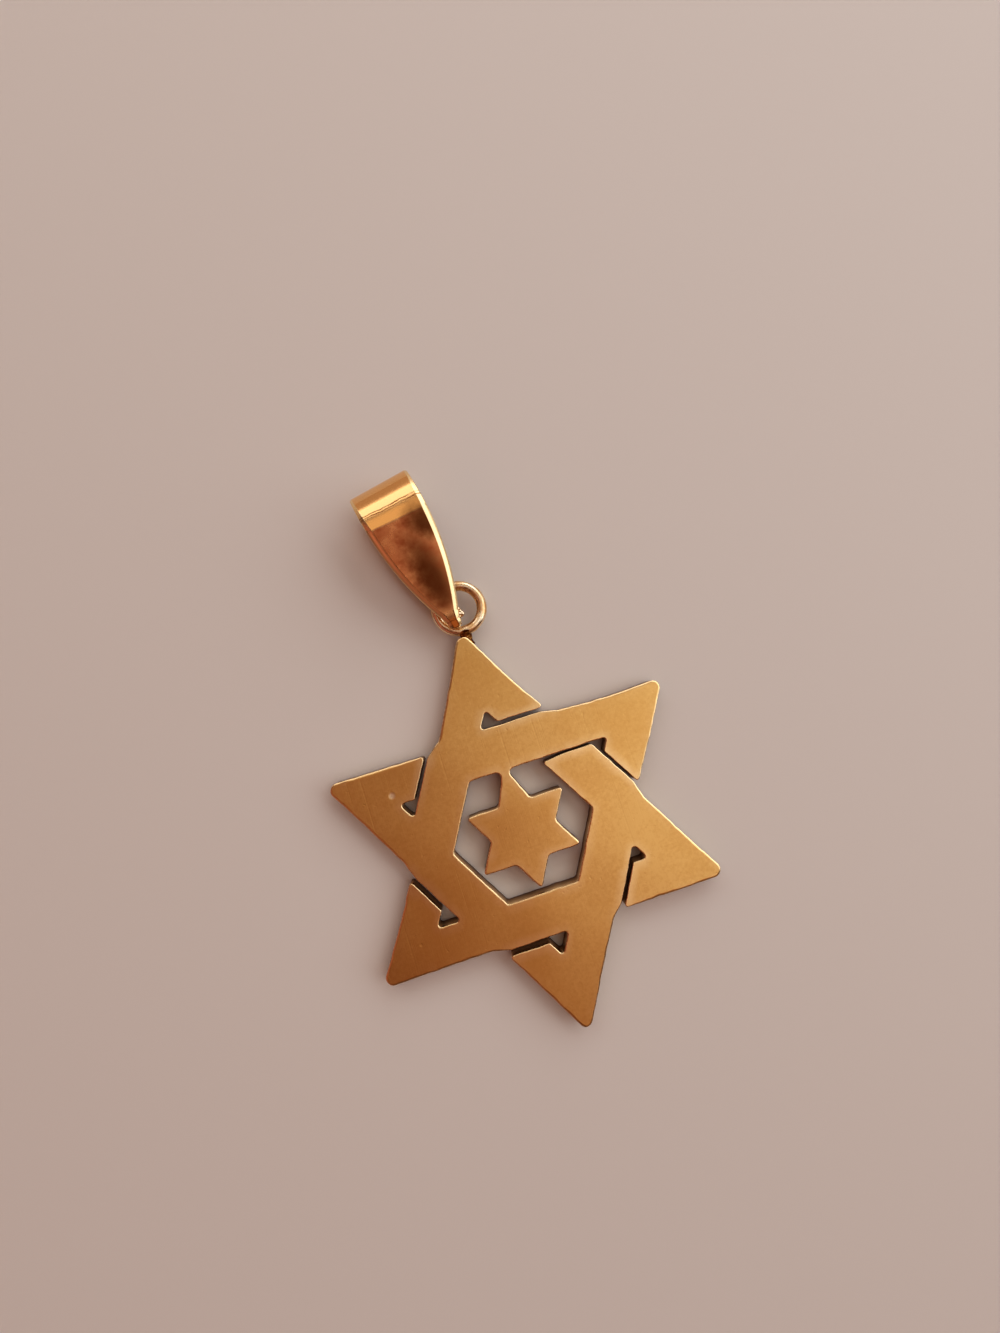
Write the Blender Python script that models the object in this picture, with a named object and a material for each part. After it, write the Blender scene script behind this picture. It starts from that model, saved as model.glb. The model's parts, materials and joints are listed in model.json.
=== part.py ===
"""Star of David pendant: a star pierced and sawn by hand from one sheet of metal, a wire ring
soldered to its top point, and a folded ribbon bail threaded on the ring.

The pendant lies on its back. Lengths are in metres. The origin is the star's centre on its back
face, +Z points out of the front face and +Y from the star's centre to the ring."""

import math

import bpy
import numpy as np

MM = 0.001

# Star, cut from sheet
STAR_HEIGHT = 25.0 * MM  # from the top point to the bottom point
SHEET_THICKNESS = 1.1 * MM
TIP_ROUNDING = 0.5 * MM
SHEET_EDGE_ROUNDING = 0.1 * MM
HAND_WAVER = 0.2 * MM  # how far a hand-filed side strays from its true line

# Saw cuts that part the bands of the two interlaced triangles
SAW_CUT = 0.24 * MM
LIP_STEP = 0.3 * MM  # the band under a cut stands this far outside the star's side
CUT_CORNER_ROUNDING = 0.15 * MM
KEYHOLE_DEPTH = 1.16 * MM  # from the band's lip to the far corner of the hole where a cut ends
KEYHOLE_ROUNDING = 0.18 * MM
RAMP_START_SHARE = 0.83  # the lip leaves the cut here, from a side's middle to its notch
RAMP_END_SHARE = 1.13
RAMP_ROUNDING = 0.5 * MM

# Opening in the middle, and the small star left standing in it
OPENING_ACROSS_FLATS = 7.96 * MM
OPENING_SHIFT_X = -0.17 * MM
OPENING_SHIFT_Y = -0.07 * MM
WINDOW_ROUNDING = 0.25 * MM
SMALL_STAR_HEIGHT = 7.1 * MM
SMALL_TIP_ROUNDING = 0.14 * MM
SMALL_NOTCH_ROUNDING = 0.35 * MM
NECK_WIDTH = 0.22 * MM  # between the sharp corners of the two windows beside the neck
NECK_ROUNDING = 0.35 * MM

# Ring of round wire, soldered to the star's top point
RING_DIAMETER = 3.63 * MM
RING_WIRE = 0.66 * MM
RING_SHIFT_X = 0.24 * MM
SOLDER_GAP = 0.34 * MM  # from the star's point to the ring
SOLDER_WIDTH = 0.75 * MM
SOLDER_SHIFT_X = 0.08 * MM

# Bail, a tapered ribbon folded over and soldered at its ends
BAIL_LENGTH = 9.82 * MM  # from the solder at its end to the loop's far side
LOOP_DIAMETER = 3.8 * MM
RIBBON_WIDTH = 4.05 * MM
RIBBON_END_WIDTH = 0.9 * MM
RIBBON_TAPER_POWER = 2.3
RIBBON_THICKNESS = 0.35 * MM
BACK_LEAF_SHARE = 0.85  # width of the back leaf, as a share of the front leaf's
RIBBON_BEVEL = 0.32 * MM
LOOP_BEVEL_SHARE = 0.4  # width of the bevel at the loop's far side, as a share of the leaf's
WIDEST_BEVEL_SHARE = 0.5  # no bevel takes more of the half width than this
BEVEL_ANGLE = 27.0
BEVEL_CORNER = 0.05 * MM
CREASE_DISTANCE = 6.63 * MM  # from the solder to the crease between loop and front leaf
CREASE_ROUNDING = 0.5 * MM
CREASE_SLANT = 3.0  # degrees that the crease lies askew to the bail's length
LOOP_SLANT = -1.0  # the same at the loop's far side
NOSE_RADIUS = 4.0 * MM  # the front leaf bends down to its end round this radius
NOSE_ANGLE = 35.0
END_OVERHANG = 0.5 * MM  # the front leaf's end reaches past the solder, over the ring's wire
BAIL_SOLDER_LENGTH = 0.42 * MM
BAIL_SOLDER_WIDTH = 0.36 * MM
EYE_END_ROUNDING = 0.15 * MM
END_ROUNDING = 0.17 * MM
END_CORNER_ROUNDING = 0.3 * MM
BAIL_TURN_ANGLE = 11.5  # degrees counter-clockwise from +Y, seen from the front
BAIL_SEAT_ANGLE = -125.0  # where the bail's solder lies round the ring's hole, from +X
BAIL_SEAT_CLEARANCE = 0.2 * MM  # from the middle of the solder to the ring's wire
WIRE_CLEARANCE = 0.09 * MM  # between the ring's wire and the bail's back leaf
SPUR_DIAMETER = 0.44 * MM  # bead of solder on the bail's edge
SPUR_DISTANCE = 0.3 * MM
SPUR_HEIGHT = 1.5 * MM

# Free end of the band that is cut off along the top of the opening, beside this point of the star
FREE_BAND_ANGLE = 30.0
BAND_END_CUT_SHARE = 1.3  # gap as shares of SAW_CUT: at the opening, part of the way, at the cut
BAND_MIDDLE_CUT_SHARE = 0.65
BAND_CORNER_CUT_SHARE = 0.6
BAND_MIDDLE_SHARE = 0.45  # that part of the way
BAND_CORNER_ROUNDING = 0.3 * MM

# How finely round shapes are divided
ARC_STEP = math.radians(18)
ROUNDING_ROOM_SHARE = 0.48  # no rounding takes more of a side's length than this
SIDE_STEPS = 4
EDGE_STEPS = 2
RING_SIDES = 48
ROUND_SIDES = 12
BACK_ROWS = 7
LOOP_ROWS = 14
CROWN_ROWS = 14
CREASE_ROWS = 3
LEAF_ROWS = 8
NOSE_ROWS = 6
WALL_ROWS = 4  # of the solder's wall under the front leaf's end
SMOOTH_BELOW = math.radians(24)  # edges flatter than this are shaded smooth

GOLD_SATIN = (0.62, 0.36, 0.12, 1.0)
GOLD_POLISHED = (0.70, 0.42, 0.16, 1.0)

# The six points of the star, clockwise. Each side's waver is given beside the notch, half way and
# beside the tip, as shares of HAND_WAVER; round is a share of TIP_ROUNDING, lip of HAND_WAVER, and
# cut of SAW_CUT.
POINTS = (
    # angle, left: notch, half, tip, right: tip, half, notch, round, lip, cut
    ("top", 90, 0.1, 0.6, 1.7, 0.2, -0.5, -0.1, 1.7, -0.45, 1.05),
    ("upper_right", 30, -0.2, -1.0, -0.35, 0.6, 0.3, -0.6, 1.0, -0.2, 0.8),
    ("lower_right", -30, 0.1, -0.2, 0.0, 0.0, 0.15, 0.0, 1.0, -0.1, 1.0),
    ("bottom", -90, -0.1, -0.5, -0.5, 0.35, -0.1, -0.3, 1.0, -0.65, 1.55),
    ("lower_left", -150, -0.5, -0.5, -0.25, 0.6, -0.3, -0.65, 1.0, 0.05, 1.5),
    ("upper_left", 150, 0.5, 0.25, 0.35, -0.5, -0.75, -1.0, 1.0, 0.9, 1.0),
)


def unit(degrees):
    """Unit vector at an angle counter-clockwise from +X."""
    return np.array([math.cos(math.radians(degrees)), math.sin(math.radians(degrees))])


def on_side(angle, distance, along):
    """Point on the line whose normal has this angle, measured clockwise from the normal's foot."""
    return unit(angle) * distance + unit(angle - 90) * along


def crossing(angle_a, distance_a, angle_b, distance_b):
    """Where two lines meet, each given by its normal's angle and its distance from the origin."""
    return np.linalg.solve([unit(angle_a), unit(angle_b)], [distance_a, distance_b])


def rounded(corners):
    """Closed loop in which each corner (point, radius) is an arc touching both its sides."""
    points = []
    for index, (here, radius) in enumerate(corners):
        before = corners[index - 1][0] - here
        after = corners[(index + 1) % len(corners)][0] - here
        room = ROUNDING_ROOM_SHARE * min(np.linalg.norm(before), np.linalg.norm(after))
        before = before / np.linalg.norm(before)
        after = after / np.linalg.norm(after)
        angle = math.acos(max(-1.0, min(1.0, before @ after)))
        if radius == 0 or math.pi - angle < ARC_STEP / 3:
            points.append(here)
            continue
        radius = min(radius, room * math.tan(angle / 2))
        middle = (before + after) / np.linalg.norm(before + after)
        centre = here + middle * radius / math.sin(angle / 2)
        start = here + before * radius / math.tan(angle / 2) - centre
        end = here + after * radius / math.tan(angle / 2) - centre
        steps = max(2, math.ceil((math.pi - angle) / ARC_STEP))
        turn = math.pi - angle
        for share in np.linspace(0.0, 1.0, steps + 1):
            weight_start = math.sin((1 - share) * turn) / math.sin(turn)
            weight_end = math.sin(share * turn) / math.sin(turn)
            points.append(centre + start * weight_start + end * weight_end)
    return np.array(points)


def wavered(shares, place):
    """Waver at a place from 0 to 1 along a side, on the parabola through three shares."""
    first, half, last = shares
    bow = first * (1 - place) * (1 - 2 * place) + last * place * (2 * place - 1)
    return HAND_WAVER * (bow + half * 4 * place * (1 - place))


# Sides of the large triangles, before the tips are rounded
SIDE_DISTANCE = (STAR_HEIGHT / 2 + TIP_ROUNDING) / 2
NOTCH_ALONG = SIDE_DISTANCE * math.tan(math.radians(30))
TIP_ALONG = SIDE_DISTANCE * math.tan(math.radians(60))
SMALL_SIDE_DISTANCE = (SMALL_STAR_HEIGHT / 2 + SMALL_TIP_ROUNDING) / 2
SMALL_NOTCH_ALONG = SMALL_SIDE_DISTANCE * math.tan(math.radians(30))
SHIFT = np.array([OPENING_SHIFT_X, OPENING_SHIFT_Y])


def inner_distance(angle):
    """Distance from the star's centre to the inner edge of the band that faces this angle."""
    return OPENING_ACROSS_FLATS / 2 + SHIFT @ unit(angle)


def keyhole_distance(angle):
    """Distance from the star's centre to the side of a keyhole that faces this angle."""
    return (SIDE_DISTANCE + LIP_STEP + KEYHOLE_DEPTH) / 2 + SHIFT @ unit(angle)


def outer_side(angle, shares, towards_tip):
    """Points of one hand-filed side between notch and tip, both ends left out."""
    corners = []
    for place in np.arange(1, SIDE_STEPS) / SIDE_STEPS:
        along = NOTCH_ALONG * RAMP_END_SHARE + (TIP_ALONG - NOTCH_ALONG * RAMP_END_SHARE) * place
        if not towards_tip:
            along = -along
        corners.append((on_side(angle, SIDE_DISTANCE + wavered(shares, place), along), 0))
    return corners if towards_tip else corners[::-1]


def small_star_and_windows():
    """Edge of the opening, clockwise: down one side of the neck, round the small star, back up the
    neck and round the hexagon to the free end of the band."""
    top = inner_distance(90)
    neck_left = SHIFT[0] - NECK_WIDTH / 2
    neck_right = SHIFT[0] + NECK_WIDTH / 2
    corners = [(np.array([neck_right, top]), NECK_ROUNDING)]
    for turn in range(6):
        side = 90 - 60 * turn
        notch = SHIFT + on_side(side, SMALL_SIDE_DISTANCE, SMALL_NOTCH_ALONG)
        tip = SHIFT + on_side(side - 60, 2 * SMALL_SIDE_DISTANCE, 0)
        corners.append((notch, SMALL_NOTCH_ROUNDING))
        if turn < 5:
            corners.append((tip, SMALL_TIP_ROUNDING))
    corners.append((np.array([neck_left, top]), NECK_ROUNDING))
    for turn in range(5):
        side = 90 + 60 * turn
        corner = crossing(side, inner_distance(side), side + 60, inner_distance(side + 60))
        corners.append((corner, WINDOW_ROUNDING))
    return corners


def free_band_end(lip):
    """Edge of the band's free end, from the opening to the cut beside the band."""
    band = FREE_BAND_ANGLE
    top = inner_distance(90)
    start = crossing(90, top - SAW_CUT * BAND_END_CUT_SHARE, band, inner_distance(band))
    end = crossing(90, top - SAW_CUT * BAND_CORNER_CUT_SHARE, band, lip)
    across = start[0] + (end[0] - start[0]) * BAND_MIDDLE_SHARE
    middle = np.array([across, top - SAW_CUT * BAND_MIDDLE_CUT_SHARE])
    return [(start, CUT_CORNER_ROUNDING), (middle, 0), (end, BAND_CORNER_ROUNDING)]


def point_corners(index):
    """Edge of one point of the star and of the cut at its right notch, clockwise."""
    _, angle, *numbers = POINTS[index]
    left, right = numbers[:3], numbers[3:6]
    rounding, lip_share, cut_share = numbers[6:]
    left_side, right_side = angle + 60, angle - 60
    lip = SIDE_DISTANCE + LIP_STEP + HAND_WAVER * lip_share
    cut = SAW_CUT * cut_share
    tip_left = SIDE_DISTANCE + HAND_WAVER * left[2]
    tip_right = SIDE_DISTANCE + HAND_WAVER * right[0]
    corners = outer_side(left_side, left, True)
    corners.append((crossing(left_side, tip_left, right_side, tip_right), TIP_ROUNDING * rounding))
    corners += outer_side(right_side, right[::-1], False)
    wedge = crossing(right_side, SIDE_DISTANCE + HAND_WAVER * right[2], angle, lip + cut)
    corners.append((wedge, CUT_CORNER_ROUNDING))
    free_band = angle == FREE_BAND_ANGLE
    keyhole_right = keyhole_distance(right_side)
    keyhole_left = inner_distance(90) if free_band else keyhole_distance(left_side)
    corners.append((crossing(angle, lip + cut, right_side, keyhole_right), CUT_CORNER_ROUNDING))
    apex = crossing(right_side, keyhole_right, left_side, keyhole_left)
    corners.append((apex, KEYHOLE_ROUNDING))
    if free_band:
        corners += small_star_and_windows()
        corners += free_band_end(lip)
    else:
        corners.append((crossing(left_side, keyhole_left, angle, lip), KEYHOLE_ROUNDING))
    corners.append((on_side(angle, lip, NOTCH_ALONG * RAMP_START_SHARE), RAMP_ROUNDING))
    next_left = POINTS[(index + 1) % len(POINTS)][2]
    ramp_foot = SIDE_DISTANCE + HAND_WAVER * next_left
    corners.append((on_side(angle, ramp_foot, NOTCH_ALONG * RAMP_END_SHARE), RAMP_ROUNDING))
    return corners


def inset(loop, distance):
    """The clockwise loop moved into the metal, each point along the bisector of its two sides."""
    along = np.roll(loop, -1, axis=0) - loop
    along /= np.linalg.norm(along, axis=1)[:, None]
    inward = np.column_stack([along[:, 1], -along[:, 0]])
    before = np.roll(inward, 1, axis=0)
    share = 1 + np.sum(inward * before, axis=1)
    return loop + distance * (inward + before) / share[:, None]


def shade_smooth(mesh):
    """Round stretches shaded smooth, real edges left sharp."""
    mesh.shade_smooth()
    mesh.set_sharp_from_angle(angle=SMOOTH_BELOW)


def new_object(name, vertices, faces, material):
    """Mesh object whose every face has one material."""
    mesh = bpy.data.meshes.new(name)
    mesh.from_pydata([tuple(vertex) for vertex in vertices], [], faces)
    mesh.materials.append(material)
    mesh.update()
    shade_smooth(mesh)
    obj = bpy.data.objects.new(name, mesh)
    bpy.context.scene.collection.objects.link(obj)
    return obj


def joined_rows(rows, count, closed):
    """Quads between rows of points, each row a closed ring of count points."""
    faces = []
    for row in range(rows if closed else rows - 1):
        below = row * count
        above = (row + 1) % rows * count
        for point in range(count):
            after = (point + 1) % count
            faces.append((below + point, below + after, above + after, above + point))
    return faces


def star_plate(material):
    """Sheet of the star's outline, its front and back edges rounded all round."""
    corners = []
    for index in range(len(POINTS)):
        corners += point_corners(index)
    loop = rounded(corners)
    rows = []
    for step in range(EDGE_STEPS + 1):
        angle = math.pi / 2 * step / EDGE_STEPS
        height = SHEET_EDGE_ROUNDING * (1 - math.cos(angle))
        ring = inset(loop, SHEET_EDGE_ROUNDING * (1 - math.sin(angle)))
        rows.append((height, ring))
    rows += [(SHEET_THICKNESS - height, ring) for height, ring in rows[::-1]]
    vertices = [(x, y, height) for height, ring in rows for x, y in ring]
    count = len(loop)
    faces = [face[::-1] for face in joined_rows(len(rows), count, False)]
    faces.append(tuple(range(count)))
    faces.append(tuple(range(len(vertices) - 1, len(vertices) - count - 1, -1)))
    return new_object("star_with_ring", vertices, faces, material)


def fuse(obj, helper, name):
    """Boolean union of a helper into an object, as soldered metal is one piece."""
    helper.name = name
    helper.hide_render = True
    helper.display_type = "WIRE"
    shade_smooth(helper.data)
    union = obj.modifiers.new(name, "BOOLEAN")
    union.operation = "UNION"
    union.solver = "EXACT"
    union.object = helper


WIRE_HEIGHT = RIBBON_THICKNESS + WIRE_CLEARANCE + RING_WIRE / 2
RING_CENTRE_Y = STAR_HEIGHT / 2 + SOLDER_GAP + RING_DIAMETER / 2


def add_ring(star):
    """Wire ring in the plane of the star, and the solder that holds it to the point."""
    bpy.ops.mesh.primitive_torus_add(
        major_radius=(RING_DIAMETER - RING_WIRE) / 2,
        minor_radius=RING_WIRE / 2,
        major_segments=RING_SIDES,
        minor_segments=ROUND_SIDES,
        location=(RING_SHIFT_X, RING_CENTRE_Y, WIRE_HEIGHT),
    )
    fuse(star, bpy.context.object, "ring_wire")
    start = STAR_HEIGHT / 2 - TIP_ROUNDING
    end = RING_CENTRE_Y - RING_DIAMETER / 2 + RING_WIRE / 2
    bpy.ops.mesh.primitive_cylinder_add(
        vertices=ROUND_SIDES,
        radius=SOLDER_WIDTH / 2,
        depth=end - start,
        location=(SOLDER_SHIFT_X, (start + end) / 2, SHEET_THICKNESS / 2),
        rotation=(math.pi / 2, 0, 0),
    )
    fuse(star, bpy.context.object, "ring_solder")


def bail_sections():
    """Side view of the folded ribbon, from the solder at its end along the back leaf, round the loop,
    over its crown to the crease and down the front leaf to the end again. Each row is an outer and
    an inner point (distance from the solder's end, height), how much of the back leaf's narrowing it
    has, and where the end lies that its width is rounded towards."""
    radius = LOOP_DIAMETER / 2
    loop_x = BAIL_LENGTH - radius
    crown = np.array([BAIL_LENGTH - CREASE_DISTANCE, radius])
    crease = np.array([CREASE_DISTANCE, LOOP_DIAMETER])
    under = RIBBON_THICKNESS + RING_WIRE + 2 * WIRE_CLEARANCE
    tip = np.array([-END_OVERHANG, under + RIBBON_THICKNESS])
    nose_centre = tip - NOSE_RADIUS * unit(90 + NOSE_ANGLE)
    run, rise = crease - nose_centre
    fall = math.degrees(math.atan2(rise, run) + math.acos(NOSE_RADIUS / math.hypot(run, rise))) - 90
    leaf_normal = unit(90 + fall)
    bend = crease + CREASE_ROUNDING * np.array([math.tan(math.radians(fall / 2)), -1.0])
    rows = []

    eye = BAIL_SOLDER_LENGTH + END_ROUNDING
    for share in np.linspace(0.0, 1.0, BACK_ROWS):
        outer = np.array([END_ROUNDING + (loop_x - END_ROUNDING) * share, 0.0])
        inner = np.array([eye + (loop_x - eye) * share, RIBBON_THICKNESS])
        rows.append((outer, inner, 1.0, 0.0))

    for share in np.linspace(0.0, 1.0, LOOP_ROWS)[1:]:
        normal = unit(-90 + 90 * share)
        outer = np.array([loop_x, radius]) + normal * radius
        rows.append((outer, outer - normal * RIBBON_THICKNESS, 1 - share, 0.0))

    for share in np.linspace(0.0, 1.0, CROWN_ROWS)[1:-1]:
        outer = np.array([CREASE_DISTANCE, radius]) + crown * unit(90 * share)
        normal = unit(90 * share) / crown
        inner = outer - RIBBON_THICKNESS * normal / np.linalg.norm(normal)
        rows.append((outer, inner, 0.0, -END_OVERHANG))

    for share in np.linspace(0.0, 1.0, CREASE_ROWS):
        normal = unit(90 + fall * share)
        outer = bend + normal * CREASE_ROUNDING
        rows.append((outer, outer - normal * RIBBON_THICKNESS, 0.0, -END_OVERHANG))

    leaf_top = rows[-1][0]
    leaf_foot = nose_centre + leaf_normal * NOSE_RADIUS
    for share in np.linspace(0.0, 1.0, LEAF_ROWS)[1:]:
        outer = leaf_top + (leaf_foot - leaf_top) * share
        rows.append((outer, outer - leaf_normal * RIBBON_THICKNESS, 0.0, -END_OVERHANG))

    inside = NOSE_RADIUS - RIBBON_THICKNESS
    solder_angle = math.degrees(math.acos(-nose_centre[0] / NOSE_RADIUS))
    eye_angle = math.degrees(math.acos((BAIL_SOLDER_LENGTH - nose_centre[0]) / inside))
    for share in np.linspace(0.0, 1.0, NOSE_ROWS)[1:]:
        outer = nose_centre + unit(90 + fall + (solder_angle - 90 - fall) * share) * NOSE_RADIUS
        inner = nose_centre + unit(90 + fall + (eye_angle - 90 - fall) * share) * inside
        rows.append((outer, inner, 0.0, -END_OVERHANG))

    overhang = [nose_centre + unit((solder_angle + 90 + NOSE_ANGLE) / 2) * NOSE_RADIUS, tip]
    overhang.append(np.array([-END_OVERHANG, under]))
    wall = [np.array([0.0, height]) for height in np.linspace(under, END_ROUNDING, WALL_ROWS - 1)]
    wall.append(END_ROUNDING * (1 + unit(225)))
    eye_top = rows[-1][1][1]
    eye_middle = np.array([BAIL_SOLDER_LENGTH, (eye_top + RIBBON_THICKNESS) / 2])
    eye_reach = np.array([EYE_END_ROUNDING, (eye_top - RIBBON_THICKNESS) / 2])
    last = overhang + wall
    for index, outer in enumerate(last):
        share = (index + 1) / (len(last) + 1)
        end = -END_OVERHANG if index < len(overhang) else 0.0
        rows.append((outer, eye_middle + eye_reach * unit(90 + 180 * share), 0.0, end))

    return [np.array([row[part] for row in rows]) for part in range(4)]


def ribbon_half_width(distance, end):
    """Half the front leaf's width at a distance from the solder, with the corners of its end rounded."""
    share = np.clip(distance / (BAIL_LENGTH - LOOP_DIAMETER / 2), 0, 1)
    grown = 1 - (1 - share) ** RIBBON_TAPER_POWER
    taper = (RIBBON_END_WIDTH + (RIBBON_WIDTH - RIBBON_END_WIDTH) * grown) / 2
    inside = np.clip(END_CORNER_ROUNDING - (distance - end), 0, END_CORNER_ROUNDING)
    return taper - END_CORNER_ROUNDING + np.sqrt(END_CORNER_ROUNDING**2 - inside**2)


def bail_ribbon(material):
    """Folded ribbon, its outer edges bevelled, lying on its back leaf with its solder at the origin."""
    outer, inner, back, end = bail_sections()
    half = ribbon_half_width(outer[:, 0], end) * (1 - (1 - BACK_LEAF_SHARE) * back)
    half[-WALL_ROWS:] = BAIL_SOLDER_WIDTH / 2
    round_loop = np.clip((outer[:, 0] - CREASE_DISTANCE) / (BAIL_LENGTH - CREASE_DISTANCE), 0, 1)
    bevel = RIBBON_BEVEL * (1 - (1 - LOOP_BEVEL_SHARE) * round_loop)
    bevel = np.minimum(bevel, half * WIDEST_BEVEL_SHARE)
    along = np.roll(outer, -1, axis=0) - np.roll(outer, 1, axis=0)
    along /= np.linalg.norm(along, axis=1)[:, None]
    inward = np.column_stack([-along[:, 1], along[:, 0]])
    right = [(half - bevel, outer)]
    for angle in (90 - BEVEL_ANGLE, (90 - BEVEL_ANGLE) / 2, 0):
        across = half - BEVEL_CORNER * (1 - math.cos(math.radians(angle)))
        lift = BEVEL_CORNER * (1 - math.sin(math.radians(angle)))
        depth = bevel * math.tan(math.radians(BEVEL_ANGLE))
        right.append((across, outer + inward * (depth + lift)[:, None]))
    left = [(-across, place) for across, place in right[::-1]]
    section = [(-half, inner)] + left + right + [(half, inner)]
    slants = np.tan(np.radians([0.0, CREASE_SLANT, LOOP_SLANT]))
    slant = np.interp(outer[:, 0], (0.0, CREASE_DISTANCE, BAIL_LENGTH), slants)
    vertices = []
    for row in range(len(outer)):
        for across, place in section:
            along_leaf = place[row][0] - slant[row] * across[row]
            vertices.append((across[row], along_leaf, place[row][1]))
    faces = joined_rows(len(outer), len(section), True)
    return new_object("ribbon_bail", vertices, faces, material)


def bail_place():
    """Where the middle of the bail's solder lies, in the ring's hole beside the wire."""
    reach = RING_DIAMETER / 2 - RING_WIRE - BAIL_SEAT_CLEARANCE
    return np.array([RING_SHIFT_X, RING_CENTRE_Y]) + reach * unit(BAIL_SEAT_ANGLE)


def place_bail(bail):
    """The bail is turned about its solder, which stands in the ring's hole."""
    seat = bpy.data.objects.new("bail_seat", None)
    bpy.context.scene.collection.objects.link(seat)
    seat.location = (*bail_place(), 0)
    seat.rotation_euler = (0, 0, math.radians(BAIL_TURN_ANGLE))
    bail.parent = seat
    bpy.ops.mesh.primitive_uv_sphere_add(
        segments=ROUND_SIDES,
        ring_count=ROUND_SIDES // 2,
        radius=SPUR_DIAMETER / 2,
        location=(float(ribbon_half_width(SPUR_DISTANCE, 0.0)), SPUR_DISTANCE, SPUR_HEIGHT),
    )
    bpy.context.object.parent = seat
    fuse(bail, bpy.context.object, "solder_spur")


def gold(name, colour, roughness):
    """Yellow gold with this finish."""
    material = bpy.data.materials.new(name)
    material.use_nodes = True
    shader = material.node_tree.nodes["Principled BSDF"]
    shader.inputs["Base Color"].default_value = colour
    shader.inputs["Metallic"].default_value = 1.0
    shader.inputs["Roughness"].default_value = roughness
    return material


def main():
    for obj in list(bpy.data.objects):
        bpy.data.objects.remove(obj, do_unlink=True)
    star = star_plate(gold("gold_satin", GOLD_SATIN, 0.45))
    add_ring(star)
    bail = bail_ribbon(gold("gold_polished", GOLD_POLISHED, 0.15))
    place_bail(bail)


main()
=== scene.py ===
# %% [markdown]
# # Six-pointed star pendant
# The pendant is a flat star sawn by hand out of one sheet of yellow gold, a small wire ring soldered
# to its top point, and a folded ribbon bail that hangs in the ring. It lies on its back. This lesson
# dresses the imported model: each piece is a surface worked out with numpy, in metres, in the packed
# model's own frame, and each finish is built from what the real one is and how it was made.

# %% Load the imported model
import json
import math

import bpy
import numpy as np
from mathutils import Matrix, Vector
from mathutils.geometry import delaunay_2d_cdt

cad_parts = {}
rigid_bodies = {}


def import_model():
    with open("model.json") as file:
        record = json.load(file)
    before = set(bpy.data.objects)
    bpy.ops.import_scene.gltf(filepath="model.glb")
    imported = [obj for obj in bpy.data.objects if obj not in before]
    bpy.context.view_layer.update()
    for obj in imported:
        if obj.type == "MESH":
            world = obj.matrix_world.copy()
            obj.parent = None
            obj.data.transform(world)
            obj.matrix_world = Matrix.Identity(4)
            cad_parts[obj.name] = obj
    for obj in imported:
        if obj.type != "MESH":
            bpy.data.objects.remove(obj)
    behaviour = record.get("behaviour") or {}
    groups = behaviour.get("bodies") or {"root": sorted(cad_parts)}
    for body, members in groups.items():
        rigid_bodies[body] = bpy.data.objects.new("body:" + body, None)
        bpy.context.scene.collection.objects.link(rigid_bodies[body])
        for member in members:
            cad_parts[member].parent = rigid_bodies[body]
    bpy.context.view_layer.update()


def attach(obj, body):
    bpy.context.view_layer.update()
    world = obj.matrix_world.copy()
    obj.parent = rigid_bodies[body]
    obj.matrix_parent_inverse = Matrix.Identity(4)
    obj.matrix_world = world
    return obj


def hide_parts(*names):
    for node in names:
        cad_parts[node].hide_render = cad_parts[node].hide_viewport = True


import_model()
MM = 0.001

# %% [markdown]
# ## Lines and corners
# A goldsmith scribes the star on the sheet with a ruler: every edge is a straight line at some
# distance from the star's centre, and each corner is where two lines cross. The same two ideas draw
# it here. They could be typed as coordinates, but then no size could be changed later.


# %% Lines given by their normal
def unit(degrees):
    """Unit vector at an angle counter-clockwise from +X."""
    return np.array([math.cos(math.radians(degrees)), math.sin(math.radians(degrees))])


def on_line(angle, distance, along):
    """Point on a line: its normal's angle times the distance, plus a walk clockwise along the line."""
    return unit(angle) * distance + unit(angle - 90) * along


def crossing(angle_a, distance_a, angle_b, distance_b):
    """Where two lines meet: the point whose dot product with each normal is that line's distance."""
    return np.linalg.solve([unit(angle_a), unit(angle_b)], [distance_a, distance_b])


# %% [markdown]
# ## The star's outline
# The two big triangles only look woven. At each notch a saw cut runs in under the neighbouring band
# and ends in a small drilled and filed hole, and one cut opens into the middle, so the whole plate
# has one single edge. Each row of the table is one point of the star. The shares say how far the
# file strayed from the true line, which is what makes it look made by hand.

# %% Sizes of the sawn sheet
STAR_HEIGHT = 25.0 * MM
SHEET_THICKNESS = 1.1 * MM
TIP_ROUNDING = 0.5 * MM
HAND_WAVER = 0.2 * MM
SAW_CUT = 0.24 * MM
LIP_STEP = 0.3 * MM
CUT_ROUNDING = 0.15 * MM
KEYHOLE_DEPTH = 1.16 * MM
KEYHOLE_ROUNDING = 0.18 * MM
RAMP_START, RAMP_END = 0.83, 1.13  # of the way from a side's middle to its notch
RAMP_ROUNDING = 0.5 * MM
OPENING = 7.96 * MM
SHIFT = np.array([-0.17, -0.07]) * MM
WINDOW_ROUNDING = 0.25 * MM
SMALL_STAR = 7.1 * MM
SMALL_TIP = 0.14 * MM
SMALL_NOTCH = 0.35 * MM
NECK_WIDTH = 0.22 * MM
NECK_ROUNDING = 0.35 * MM
FREE_BAND = 30
FREE_END_ROUNDING = 0.3 * MM
FREE_END_GAPS = (1.3, 0.65, 0.6)  # beside its start, middle and end, in saw cuts
FREE_END_MIDDLE = 0.45

side_distance = (STAR_HEIGHT / 2 + TIP_ROUNDING) / 2
notch_along = side_distance * math.tan(math.radians(30))
tip_along = side_distance * math.tan(math.radians(60))
small_distance = (SMALL_STAR / 2 + SMALL_TIP) / 2

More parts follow.
